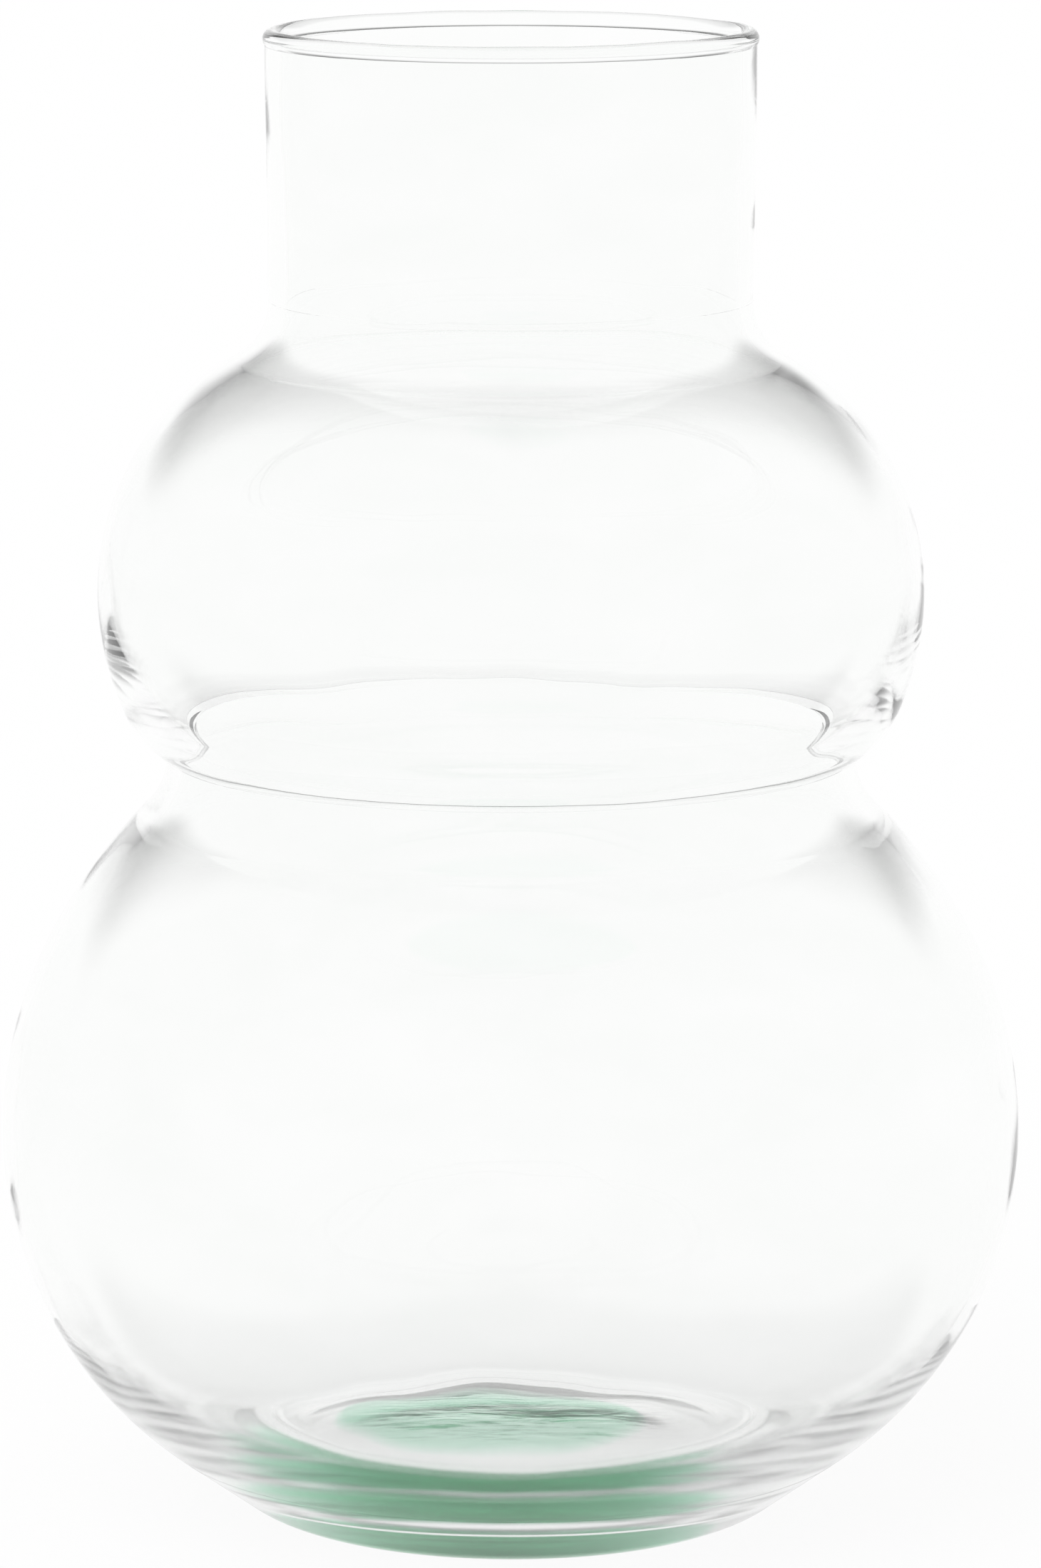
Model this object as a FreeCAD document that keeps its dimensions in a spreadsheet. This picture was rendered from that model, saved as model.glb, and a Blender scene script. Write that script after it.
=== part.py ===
# Double gourd vase in blown recycled glass: a wide round belly, a smaller bulb above a pinched waist,
# a straight collar neck with a fire-polished lip, and a thick clear base with a green core, pushed up
# underneath.
# Millimetres, +Z up, origin on the floor at the centre of the foot. The vase stands on the foot's flat ring.
#
# The real vase is blown as one bubble. Each zone that the glassworker forms in a step of its own is a body
# here: green_core, base, lower_bulb, upper_bulb, neck and lip, from the floor up. Each is a full turn about
# the upright axis, drawn from its own lower face up. The core meets the base on a cone that leans in a
# little, and the other zones meet face to face on flat rings.
import FreeCAD, Part
import math
import os
from collections import namedtuple

import Sketcher

# Driving dimensions: name, value and meaning. Lengths are in mm.
SIZES = (
    ("punt_dia", 86.0, "diameter of the pushed-up hollow under the base"),
    ("foot_ring_width", 3.0, "width of the flat ring round that hollow, on which the vase stands"),
    ("punt_depth", 5.0, "height of that hollow at its centre"),
    ("core_foot_dia", 62.0, "diameter of the green core where it comes out in the hollow"),
    ("core_top_share", 0.73, "share of the floor's radius that the green core takes up"),
    ("heel_round_share", 0.636, "radius of the heel, as a share of the way from foot ring to edge"),
    ("base_edge_dia", 137.0, "outer diameter where the thick base ends and the wall starts"),
    ("base_edge_height", 13.0, "height of the base at that edge"),
    ("floor_rise", 1.5, "how far the middle of the domed floor stands above its edge"),
    ("belly_dia", 200.0, "widest outer diameter of the lower bulb"),
    ("belly_rise", 61.5, "height from the base's edge to the widest place"),
    ("belly_wall", 2.2, "wall at the widest place of the lower bulb"),
    ("bowl_in_share", 0.943, "way in from the widest place to the floor's edge, as a share of belly_rise"),
    ("floor_corner_share", 0.965, "share of that way that the round corner round the floor takes up"),
    ("shoulder_rise", 74.8, "height from the widest place of the belly to the waist"),
    ("shoulder_in_share", 0.37, "share of the way in to the waist where the shoulder straightens"),
    ("shoulder_up_share", 0.58, "share of the way up to the waist where the shoulder straightens"),
    ("waist_dia", 134.8, "outer diameter of the pinched crease between the bulbs"),
    ("waist_wall", 3.8, "wall at the crease, measured level"),
    ("waist_hollow", 14.8, "radius of the hollow that leads from the shoulder into the crease"),
    ("bulb_dia", 161.0, "widest outer diameter of the upper bulb"),
    ("bulb_rise", 32.2, "height from the waist to the widest place of the upper bulb"),
    ("bulb_wall", 2.2, "wall at the widest place of the upper bulb"),
    ("under_in_share", 0.36, "share of the way in to the waist where the bulb's underside tightens"),
    ("under_down_share", 0.71, "share of the way down to the waist where the underside tightens"),
    ("crown_rise", 56.5, "height from the widest place of the upper bulb to the neck's root"),
    ("neck_dia", 94.3, "outer diameter of the neck at its root"),
    ("neck_wall", 3.15, "wall of the neck at its root"),
    ("neck_root_round", 12.75, "radius of the hollow between the upper bulb and the neck"),
    ("neck_length", 49.0, "straight collar from the root to the lip"),
    ("mouth_flare", 0.45, "how far the neck's outside leans out on its way to the lip"),
    ("lip_overhang", 0.4, "how far the melted lip stands proud of the neck's outside"),
)

doc = FreeCAD.newDocument("DoubleGourdVase")
sheet = doc.addObject("Spreadsheet::Sheet", "Sizes")
for row, (alias, value, meaning) in enumerate(SIZES, start=1):
    sheet.set("A%d" % row, alias)
    sheet.set("B%d" % row, str(value))
    sheet.set("C%d" % row, meaning)
    sheet.setAlias("B%d" % row, alias)
doc.recompute()

# Radii that several outlines share, as expressions on the sheet.
ZERO = "0"
PUNT_R = "Sizes.punt_dia / 2"
FOOT_R = "(" + PUNT_R + " + Sizes.foot_ring_width)"
EDGE_R = "Sizes.base_edge_dia / 2"
PUNT_ROUND = "((Sizes.punt_dia ^ 2 / 4 + Sizes.punt_depth ^ 2) / (2 * Sizes.punt_depth))"
CORE_FOOT_R = "Sizes.core_foot_dia / 2"
BELLY_R = "Sizes.belly_dia / 2"
BELLY_INNER_R = "Sizes.belly_dia / 2 - Sizes.belly_wall"
HEEL_ROUND = "(Sizes.heel_round_share * (" + EDGE_R + " - " + FOOT_R + "))"
BOWL_IN = "Sizes.belly_rise * Sizes.bowl_in_share"
FLOOR_R = "(" + BELLY_INNER_R + " - " + BOWL_IN + ")"
FLOOR_ROUND = "((" + FLOOR_R + " ^ 2 + Sizes.floor_rise ^ 2) / (2 * Sizes.floor_rise))"
FLOOR_CORNER = "(" + BOWL_IN + " * Sizes.floor_corner_share / (1 + " + FLOOR_R + " / " + FLOOR_ROUND + "))"
CORE_TOP_R = FLOOR_R + " * Sizes.core_top_share"
WAIST_R = "Sizes.waist_dia / 2"
WAIST_INNER_R = "Sizes.waist_dia / 2 - Sizes.waist_wall"
BULB_R = "Sizes.bulb_dia / 2"
BULB_INNER_R = "Sizes.bulb_dia / 2 - Sizes.bulb_wall"
NECK_R = "Sizes.neck_dia / 2"
BORE_R = "Sizes.neck_dia / 2 - Sizes.neck_wall"
MOUTH_R = "Sizes.neck_dia / 2 + Sizes.mouth_flare"

# Heights of the bodies' lower faces above the floor, each standing on the one before.
WAIST_UP = "Sizes.belly_rise + Sizes.shoulder_rise"
ROOT_UP = "Sizes.bulb_rise + Sizes.crown_rise"
FLOOR_TOP = "Sizes.base_edge_height + Sizes.floor_rise"
WALL_Z = "Sizes.base_edge_height"
WAIST_Z = WALL_Z + " + " + WAIST_UP
ROOT_Z = WAIST_Z + " + " + ROOT_UP
LIP_Z = ROOT_Z + " + Sizes.neck_length"

Edge = namedtuple("Edge", "index head tail centre")


def worth(expression):
    """The number that an expression comes to, for the first place of a sketch's points."""
    return float(sheet.evalExpression(expression))


def spot(out, up):
    """A point of a sketch from two expressions: how far out from the axis, and how far up."""
    return FreeCAD.Vector(worth(out), worth(up), 0)


def part_way(start, end, share):
    """The expression for a place that lies a share of the way from one to another."""
    return "(%s) + ((%s) - (%s)) * Sizes.%s" % (start, end, start, share)


def upright_centre(widest, other):
    """Centre of the arc through both points that stands upright at the widest one."""
    inward = widest.x - other.x
    rise = other.y - widest.y
    radius = (inward * inward + rise * rise) / (2 * inward)
    return FreeCAD.Vector(widest.x - radius, widest.y, 0)


def dome(top_height, round_expression, out):
    """Centre, on the axis, of a dome's arc, and the point of the arc that lies so far out."""
    radius, reach = worth(round_expression), worth(out)
    centre = spot(ZERO, top_height) - FreeCAD.Vector(0, radius, 0)
    return centre, centre + FreeCAD.Vector(reach, math.sqrt(radius * radius - reach * reach), 0)


def bowl(widest, corner_centre, corner_radius):
    """Centre of the arc that stands upright at the widest place and that the corner's circle touches
    from inside, and where it touches."""
    reach = widest.x - corner_radius
    rise = widest.y - corner_centre.y
    out = (reach ** 2 - corner_centre.x ** 2 - rise ** 2) / (2 * (reach - corner_centre.x))
    centre = FreeCAD.Vector(out, widest.y, 0)
    return centre, centre + (corner_centre - centre).normalize() * (widest.x - out)


def blend(start, old_centre, round_centre, round_radius):
    """Centre of the arc that carries on smoothly from start to touch a circle, and where it touches."""
    square = (start - old_centre).normalize()
    reach = round_centre - start
    radius = (reach.dot(reach) - round_radius * round_radius) / (2 * (round_radius - reach.dot(square)))
    centre = start - square * radius
    touch = centre + (round_centre - centre) * (radius / (radius + round_radius))
    return centre, touch


def touch_below(point, centre, radius):
    """Where the straight line from a point touches the lower side of a circle."""
    reach = centre - point
    turn = math.atan2(reach.y, reach.x) + math.asin(radius / reach.Length)
    way = math.sqrt(reach.dot(reach) - radius * radius)
    return point + FreeCAD.Vector(math.cos(turn), math.sin(turn), 0) * way


class Outline:
    """A closed outline on the upright plane of a body: a chain of lines and arcs, each joined to the last."""

    START, END, CENTRE = range(1, 4)
    LEVEL_AXIS, UP_AXIS = range(-1, -3, -1)
    ORIGIN = (LEVEL_AXIS, START)

    def __init__(self, body):
        """Starts an empty sketch on the body's own XZ plane."""
        self.body = body
        self.sketch = body.newObject("Sketcher::SketchObject", body.Name + "_outline")
        plane = [feature for feature in body.Origin.OriginFeatures if feature.Role == "XZ_Plane"][0]
        self.sketch.AttachmentSupport = [(plane, "")]
        self.sketch.MapMode = "FlatFace"
        self.edges = []

    def add(self, shape, turn, smooth):
        """Adds an edge, joined to the last one and in line with it if smooth."""
        index = self.sketch.addGeometry(shape, False)
        head, tail = (index, self.START), (index, self.END)
        if turn == "right":
            head, tail = tail, head
        if self.edges:
            kind = "Tangent" if smooth else "Coincident"
            self.sketch.addConstraint(Sketcher.Constraint(kind, *self.edges[-1].tail, *head))
        self.edges.append(Edge(index, head, tail, (index, self.CENTRE)))
        return self.edges[-1]

    def line(self, start, end, smooth=False):
        """Adds a straight edge."""
        return self.add(Part.LineSegment(start, end), "left", smooth)

    def arc(self, start, end, centre, turn, smooth=False):
        """Adds an arc that turns left or right on its way from start to end."""
        ends = (start, end) if turn == "left" else (end, start)
        angles = [math.atan2(point.y - centre.y, point.x - centre.x) for point in ends]
        circle = Part.Circle(centre, FreeCAD.Vector(0, 0, 1), (start - centre).Length)
        return self.add(Part.ArcOfCircle(circle, *angles), turn, smooth)

    def close(self):
        """Joins the end of the last edge to the start of the first."""
        joint = Sketcher.Constraint("Coincident", *self.edges[-1].tail, *self.edges[0].head)
        self.sketch.addConstraint(joint)

    def bind(self, constraint, name, expression):
        """Adds a sized constraint, names it and ties it to the sheet."""
        self.sketch.renameConstraint(self.sketch.addConstraint(constraint), name)
        self.sketch.setExpression("Constraints." + name, expression)

    def out(self, point, name, expression):
        """Sets how far a point lies from the axis."""
        distance = Sketcher.Constraint("DistanceX", *self.ORIGIN, *point, worth(expression))
        self.bind(distance, name, expression)

    def up(self, point, name, expression):
        """Sets how high a point lies above the body's lower face."""
        distance = Sketcher.Constraint("DistanceY", *self.ORIGIN, *point, worth(expression))
        self.bind(distance, name, expression)

    def radius(self, edge, name, expression):
        """Sets an arc's radius."""
        self.bind(Sketcher.Constraint("Radius", edge.index, worth(expression)), name, expression)

    def on_lower_face(self, point):
        """Keeps a point at the level of the body's lower face."""
        self.sketch.addConstraint(Sketcher.Constraint("PointOnObject", *point, self.LEVEL_AXIS))

    def on_axis(self, point):
        """Keeps a point on the upright axis."""
        self.sketch.addConstraint(Sketcher.Constraint("PointOnObject", *point, self.UP_AXIS))

    def level_with(self, point, other):
        """Keeps two points at one height. With an arc's centre, the arc stands upright there."""
        self.sketch.addConstraint(Sketcher.Constraint("Horizontal", *point, *other))

    def revolve(self):
        """Turns the closed outline fully round the upright axis into the body's solid."""
        doc.recompute()
        turn = self.body.newObject("PartDesign::Revolution", self.body.Name + "_turn")
        turn.Profile = self.sketch
        turn.ReferenceAxis = (self.sketch, ["V_Axis"])
        turn.Angle = 360
        self.sketch.Visibility = False
        return self.body


def new_body(label, lower_face):
    """An empty body whose lower face lies at the given height above the floor."""
    body = doc.addObject("PartDesign::Body", label)
    body.Label = label
    body.setExpression("Placement.Base.z", lower_face)
    return body


def make_green_core():
    """The green core: a thick disc of green glass in the middle of the base, hollowed below by the punt."""
    apex = spot(ZERO, "Sizes.punt_depth")
    middle = spot(ZERO, FLOOR_TOP)
    punt_centre, core_foot = dome("Sizes.punt_depth", PUNT_ROUND, CORE_FOOT_R)
    floor_centre, core_top = dome(FLOOR_TOP, FLOOR_ROUND, CORE_TOP_R)

    outline = Outline(new_body("green_core", ZERO))
    punt = outline.arc(apex, core_foot, punt_centre, "right")
    outline.line(core_foot, core_top)
    floor = outline.arc(core_top, middle, floor_centre, "left")
    outline.line(middle, apex)
    outline.close()

    outline.on_axis(punt.head)
    outline.on_axis(punt.centre)
    outline.up(punt.head, "punt_depth", "Sizes.punt_depth")
    outline.radius(punt, "punt_round", PUNT_ROUND)
    outline.out(punt.tail, "core_foot_r", CORE_FOOT_R)
    outline.out(floor.head, "core_top_r", CORE_TOP_R)
    outline.radius(floor, "floor_round", FLOOR_ROUND)
    outline.on_axis(floor.centre)
    outline.on_axis(floor.tail)
    outline.up(floor.tail, "floor_top", FLOOR_TOP)
    return outline.revolve()


def make_base():
    """The thick clear base round the core: punt, flat foot ring, round heel, sloping side and domed floor."""
    punt_rim = spot(PUNT_R, ZERO)
    foot = spot(FOOT_R, ZERO)
    heel_centre = spot(FOOT_R, HEEL_ROUND)
    edge = spot(EDGE_R, "Sizes.base_edge_height")
    heel_end = touch_below(edge, heel_centre, heel_centre.y)
    corner = spot(FLOOR_R, "Sizes.base_edge_height")
    punt_centre, core_foot = dome("Sizes.punt_depth", PUNT_ROUND, CORE_FOOT_R)
    floor_centre, core_top = dome(FLOOR_TOP, FLOOR_ROUND, CORE_TOP_R)

    outline = Outline(new_body("base", ZERO))
    punt = outline.arc(core_foot, punt_rim, punt_centre, "right")
    ring = outline.line(punt_rim, foot)
    heel = outline.arc(foot, heel_end, heel_centre, "left", smooth=True)
    side = outline.line(heel_end, edge, smooth=True)
    seat = outline.line(edge, corner)
    floor = outline.arc(corner, core_top, floor_centre, "left")
    outline.line(core_top, core_foot)
    outline.close()

    outline.on_axis(punt.centre)
    outline.radius(punt, "punt_round", PUNT_ROUND)
    outline.out(punt.head, "core_foot_r", CORE_FOOT_R)
    outline.on_lower_face(punt.tail)
    outline.out(punt.tail, "punt_r", PUNT_R)
    outline.on_lower_face(ring.tail)
    outline.out(ring.tail, "foot_r", FOOT_R)
    outline.radius(heel, "heel_round", HEEL_ROUND)
    outline.out(side.tail, "edge_r", EDGE_R)
    outline.up(side.tail, "edge_height", "Sizes.base_edge_height")
    outline.level_with(seat.head, seat.tail)
    outline.out(seat.tail, "floor_r", FLOOR_R)
    outline.on_axis(floor.centre)
    outline.radius(floor, "floor_round", FLOOR_ROUND)
    outline.out(floor.tail, "core_top_r", CORE_TOP_R)
    return outline.revolve()


def make_lower_bulb():
    """The belly: a full round bulb that thins from the base to its widest place and draws in to the waist.

    Inside, the floor runs on smoothly into a wide round corner, and that into the wall.
    """
    hollow_inner = "Sizes.waist_hollow + Sizes.waist_wall"
    shoulder_out = part_way(BELLY_R, WAIST_R, "shoulder_in_share")
    shoulder_in = part_way(BELLY_INNER_R, WAIST_INNER_R, "shoulder_in_share")
    shoulder_up = "Sizes.belly_rise + Sizes.shoulder_rise * Sizes.shoulder_up_share"

    edge = spot(EDGE_R, ZERO)
    widest = spot(BELLY_R, "Sizes.belly_rise")
    shoulder = spot(shoulder_out, shoulder_up)
    shoulder_centre = upright_centre(widest, shoulder)
    waist = spot(WAIST_R, WAIST_UP)
    hollow_centre = spot(WAIST_R + " + Sizes.waist_hollow", WAIST_UP)
    flank_centre, flank_end = blend(shoulder, shoulder_centre, hollow_centre, worth("Sizes.waist_hollow"))
    waist_inner = spot(WAIST_INNER_R, WAIST_UP)
    widest_inner = spot(BELLY_INNER_R, "Sizes.belly_rise")
    shoulder_inner = spot(shoulder_in, shoulder_up)
    shoulder_inner_centre = upright_centre(widest_inner, shoulder_inner)
    hollow_inner_centre = spot(WAIST_INNER_R + " + " + hollow_inner, WAIST_UP)
    flank_inner_centre, flank_inner_end = blend(
        shoulder_inner, shoulder_inner_centre, hollow_inner_centre, worth(hollow_inner))
    corner = spot(FLOOR_R, ZERO)
    corner_centre_out = FLOOR_R + " * (1 + " + FLOOR_CORNER + " / " + FLOOR_ROUND + ")"
    floor_centre = dome("Sizes.floor_rise", FLOOR_ROUND, FLOOR_R)[0]
    corner_centre = corner + (corner - floor_centre).normalize() * worth(FLOOR_CORNER)
    bowl_centre, bowl_end = bowl(widest_inner, corner_centre, worth(FLOOR_CORNER))

    outline = Outline(new_body("lower_bulb", WALL_Z))
    belly = outline.arc(edge, widest, upright_centre(widest, edge), "left")
    upper = outline.arc(widest, shoulder, shoulder_centre, "left")
    outline.arc(shoulder, flank_end, flank_centre, "left", smooth=True)
    hollow = outline.arc(flank_end, waist, hollow_centre, "right", smooth=True)
    top = outline.line(waist, waist_inner)
    inner_hollow = outline.arc(waist_inner, flank_inner_end, hollow_inner_centre, "left")
    outline.arc(flank_inner_end, shoulder_inner, flank_inner_centre, "right", smooth=True)
    inner_upper = outline.arc(shoulder_inner, widest_inner, shoulder_inner_centre, "right", smooth=True)
    inner_bowl = outline.arc(widest_inner, bowl_end, bowl_centre, "right")
    inner_corner = outline.arc(bowl_end, corner, corner_centre, "right", smooth=True)
    outline.line(corner, edge)
    outline.close()

    outline.on_lower_face(belly.head)
    outline.out(belly.head, "edge_r", EDGE_R)
    outline.out(belly.tail, "belly_r", BELLY_R)
    outline.up(belly.tail, "belly_rise", "Sizes.belly_rise")
    outline.level_with(belly.centre, belly.tail)
    outline.level_with(upper.centre, upper.head)
    outline.out(upper.tail, "shoulder_out", shoulder_out)
    outline.up(upper.tail, "shoulder_up", shoulder_up)
    outline.out(hollow.tail, "waist_r", WAIST_R)
    outline.up(hollow.tail, "waist_up", WAIST_UP)
    outline.level_with(hollow.centre, hollow.tail)
    outline.radius(hollow, "waist_hollow", "Sizes.waist_hollow")
    outline.level_with(top.head, top.tail)
    outline.out(top.tail, "waist_inner_r", WAIST_INNER_R)
    outline.level_with(inner_hollow.centre, inner_hollow.head)
    outline.radius(inner_hollow, "waist_hollow_inner", hollow_inner)
    outline.out(inner_upper.head, "shoulder_in", shoulder_in)
    outline.up(inner_upper.head, "shoulder_in_up", shoulder_up)
    outline.level_with(inner_upper.centre, inner_upper.tail)
    outline.out(inner_upper.tail, "belly_inner_r", BELLY_INNER_R)
    outline.up(inner_upper.tail, "belly_inner_rise", "Sizes.belly_rise")
    outline.level_with(inner_bowl.centre, inner_bowl.head)
    outline.radius(inner_corner, "floor_corner_round", FLOOR_CORNER)
    outline.out(inner_corner.centre, "corner_centre_out", corner_centre_out)
    outline.on_lower_face(inner_corner.tail)
    outline.out(inner_corner.tail, "floor_r", FLOOR_R)
    return outline.revolve()


def make_upper_bulb():
    """The smaller bulb above the waist, tight underneath and drawn in at its crown to the neck's root."""
    root_round_inner = "Sizes.neck_root_round + Sizes.neck_wall"
    under_out = part_way(BULB_R, WAIST_R, "under_in_share")
    under_up = part_way("Sizes.bulb_rise", ZERO, "under_down_share")

    waist = spot(WAIST_R, ZERO)
    under = spot(under_out, under_up)
    widest = spot(BULB_R, "Sizes.bulb_rise")
    under_centre = upright_centre(widest, under)
    tight_centre, crease = blend(under, under_centre, waist, 0)
    root = spot(NECK_R, ROOT_UP)
    root_centre = spot(NECK_R + " + Sizes.neck_root_round", ROOT_UP)
    crown_centre, crown_end = blend(widest, upright_centre(widest, under), root_centre,
                                    worth("Sizes.neck_root_round"))
    root_inner = spot(BORE_R, ROOT_UP)
    widest_inner = spot(BULB_INNER_R, "Sizes.bulb_rise")
    waist_inner = spot(WAIST_INNER_R, ZERO)
    root_inner_centre = spot(BORE_R + " + " + root_round_inner, ROOT_UP)
    crown_inner_centre, crown_inner_end = blend(widest_inner, upright_centre(widest_inner, waist_inner),
                                                root_inner_centre, worth(root_round_inner))

    outline = Outline(new_body("upper_bulb", WAIST_Z))
    tight = outline.arc(crease, under, tight_centre, "left")
    lower = outline.arc(under, widest, under_centre, "left", smooth=True)
    crown = outline.arc(widest, crown_end, crown_centre, "left")
    root_hollow = outline.arc(crown_end, root, root_centre, "right", smooth=True)
    top = outline.line(root, root_inner)
    inner_hollow = outline.arc(root_inner, crown_inner_end, root_inner_centre, "left")
    inner_crown = outline.arc(crown_inner_end, widest_inner, crown_inner_centre, "right", smooth=True)
    inner_lower = outline.arc(widest_inner, waist_inner, upright_centre(widest_inner, waist_inner), "right")
    outline.line(waist_inner, waist)
    outline.close()

    outline.on_lower_face(tight.head)
    outline.out(tight.head, "waist_r", WAIST_R)
    outline.out(tight.tail, "under_out", under_out)
    outline.up(tight.tail, "under_up", under_up)
    outline.out(lower.tail, "bulb_r", BULB_R)
    outline.up(lower.tail, "bulb_rise", "Sizes.bulb_rise")
    outline.level_with(lower.centre, lower.tail)
    outline.level_with(crown.centre, crown.head)
    outline.radius(root_hollow, "neck_root_round", "Sizes.neck_root_round")
    outline.level_with(root_hollow.centre, root_hollow.tail)
    outline.out(root_hollow.tail, "neck_r", NECK_R)
    outline.up(root_hollow.tail, "root_up", ROOT_UP)
    outline.level_with(top.head, top.tail)
    outline.out(top.tail, "bore_r", BORE_R)
    outline.radius(inner_hollow, "root_round_inner", root_round_inner)
    outline.level_with(inner_hollow.centre, inner_hollow.head)
    outline.level_with(inner_crown.centre, inner_crown.tail)
    outline.out(inner_crown.tail, "bulb_inner_r", BULB_INNER_R)
    outline.up(inner_crown.tail, "bulb_inner_rise", "Sizes.bulb_rise")
    outline.level_with(inner_lower.centre, inner_lower.head)
    outline.on_lower_face(inner_lower.tail)
    outline.out(inner_lower.tail, "waist_inner_r", WAIST_INNER_R)
    return outline.revolve()


def make_neck():
    """The collar: a straight bore, with an outside that leans out a little towards the mouth."""
    outline = Outline(new_body("neck", ROOT_Z))
    outside = outline.line(spot(NECK_R, ZERO), spot(MOUTH_R, "Sizes.neck_length"))
    top = outline.line(spot(MOUTH_R, "Sizes.neck_length"), spot(BORE_R, "Sizes.neck_length"))
    bore = outline.line(spot(BORE_R, "Sizes.neck_length"), spot(BORE_R, ZERO))
    outline.line(spot(BORE_R, ZERO), spot(NECK_R, ZERO))
    outline.close()

    outline.on_lower_face(outside.head)
    outline.out(outside.head, "neck_r", NECK_R)
    outline.out(outside.tail, "mouth_r", MOUTH_R)
    outline.up(outside.tail, "neck_length", "Sizes.neck_length")
    outline.level_with(top.head, top.tail)
    outline.out(bore.head, "bore_r", BORE_R)
    outline.out(bore.tail, "bore_r_below", BORE_R)
    outline.on_lower_face(bore.tail)
    return outline.revolve()


def make_lip():
    """The fire-polished lip: a melted bead, flush with the bore and proud of the neck's outside."""
    bead_round = "(Sizes.neck_wall + Sizes.mouth_flare + Sizes.lip_overhang) / 2"
    outer, inner = spot(MOUTH_R, ZERO), spot(BORE_R, ZERO)
    centre_out = inner.x + worth(bead_round)
    rise = math.sqrt(worth(bead_round) ** 2 - (outer.x - centre_out) ** 2)
    bore_end = FreeCAD.Vector(inner.x, rise, 0)

    outline = Outline(new_body("lip", LIP_Z))
    seat = outline.line(inner, outer)
    bead = outline.arc(outer, bore_end, FreeCAD.Vector(centre_out, rise, 0), "left")
    outline.line(bore_end, inner)
    outline.close()

    outline.on_lower_face(seat.head)
    outline.out(seat.head, "bore_r", BORE_R)
    outline.on_lower_face(seat.tail)
    outline.out(seat.tail, "mouth_r", MOUTH_R)
    outline.radius(bead, "bead_round", bead_round)
    outline.level_with(bead.centre, bead.tail)
    outline.out(bead.tail, "bore_r_above", BORE_R)
    return outline.revolve()


def find_faults():
    """A plain line for each object that failed, each loose outline and each body without a sound solid."""
    faults = []
    for item in doc.Objects:
        if "Invalid" in item.State or "Error" in item.State:
            faults.append(item.Name + " did not compute")
        if item.TypeId == "Sketcher::SketchObject" and not item.FullyConstrained:
            faults.append(item.Name + " is not fully constrained")
    for body in bodies:
        if body.Shape.isNull() or not body.Shape.isValid() or len(body.Shape.Solids) != 1:
            faults.append(body.Label + " is not one sound solid")
    return faults


bodies = [make_green_core(), make_base(), make_lower_bulb(), make_upper_bulb(), make_neck(), make_lip()]
doc.recompute()
faults = find_faults()
if faults:
    raise RuntimeError("; ".join(faults))

os.makedirs("parts", exist_ok=True)
for body in bodies:
    body.Shape.exportStep(os.path.join("parts", body.Label + ".step"))
    box = body.Shape.optimalBoundingBox()
    print("%-11s z %7.2f to %7.2f  widest %7.2f  volume %9.0f mm3"
          % (body.Label, box.ZMin, box.ZMax, box.XMax * 2, body.Shape.Volume))
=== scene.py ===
"""Double gourd vase in blown recycled glass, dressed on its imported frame.

The vase is one piece of glass. It is made here in the six zones that the glassworker forms, green core,
base, lower bulb, upper bulb, neck and lip, each a closed body that stands for its own node. Light passes from
zone to zone through seam faces that show nothing, as it does in glass that runs on without a joint. The core
is green glass and the rest is clear. Metres, +Z up, origin on the floor under the middle of the foot.
"""

import logging
import math
from dataclasses import dataclass, replace
from enum import Enum

import bpy
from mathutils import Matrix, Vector

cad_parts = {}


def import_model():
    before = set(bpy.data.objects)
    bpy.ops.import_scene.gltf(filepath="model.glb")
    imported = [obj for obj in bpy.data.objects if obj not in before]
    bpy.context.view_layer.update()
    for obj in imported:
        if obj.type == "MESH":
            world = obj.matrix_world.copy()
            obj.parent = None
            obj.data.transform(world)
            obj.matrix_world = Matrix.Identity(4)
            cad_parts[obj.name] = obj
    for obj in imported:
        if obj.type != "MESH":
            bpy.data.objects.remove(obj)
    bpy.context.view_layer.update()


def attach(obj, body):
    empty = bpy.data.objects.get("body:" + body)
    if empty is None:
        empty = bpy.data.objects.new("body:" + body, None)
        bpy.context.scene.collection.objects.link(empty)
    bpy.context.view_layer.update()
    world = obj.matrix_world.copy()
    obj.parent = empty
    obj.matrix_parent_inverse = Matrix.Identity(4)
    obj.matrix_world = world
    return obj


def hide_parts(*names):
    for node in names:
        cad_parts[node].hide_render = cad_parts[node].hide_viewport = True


LOG = logging.getLogger("vase")
MM = 0.001
BODY = "root"
STRAYS = ("side", "lift", "wander")
# Where each kind of straying reads the noise, so that no two of them rise and fall together.
PHASES = {"Sway": 0.0, "Ripple": 11.0, "Dimple": 23.0, "Wander": 31.0}
NOISE_ENDS = (0.25, 0.75)
MERGE = 0.002 * MM
FOLD = math.radians(40)


def linear(hex_colour: str) -> tuple[float, float, float, float]:
    """Turns an sRGB hex colour into the linear colour that a socket takes.

    Args:
        hex_colour: Six hex digits, with or without a leading #.

    Returns:
        Linear red, green, blue and an alpha of 1.
    """
    digits = hex_colour.lstrip("#")
    parts = [int(digits[at:at + 2], 16) / 255 for at in (0, 2, 4)]
    red, green, blue = (c / 12.92 if c <= 0.04045 else ((c + 0.055) / 1.055) ** 2.4 for c in parts)
    return red, green, blue, 1.0


def add_node(tree: bpy.types.NodeTree, kind: str, inputs: dict | None = None,
             **settings: object) -> bpy.types.Node:
    """Adds a node with its settings, and fills or links its inputs.

    Args:
        tree: The tree that gets the node.
        kind: The node's type name.
        inputs: Input name or number to a plain value, or to the output socket to link in.
        **settings: Attributes to set on the node itself, before its inputs.

    Returns:
        The new node.
    """
    node = tree.nodes.new(kind)
    for name, value in settings.items():
        setattr(node, name, value)
    for key, value in (inputs or {}).items():
        socket = node.inputs[key]
        if isinstance(value, bpy.types.NodeSocket):
            tree.links.new(value, socket)
        else:
            socket.default_value = value
    return node


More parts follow.
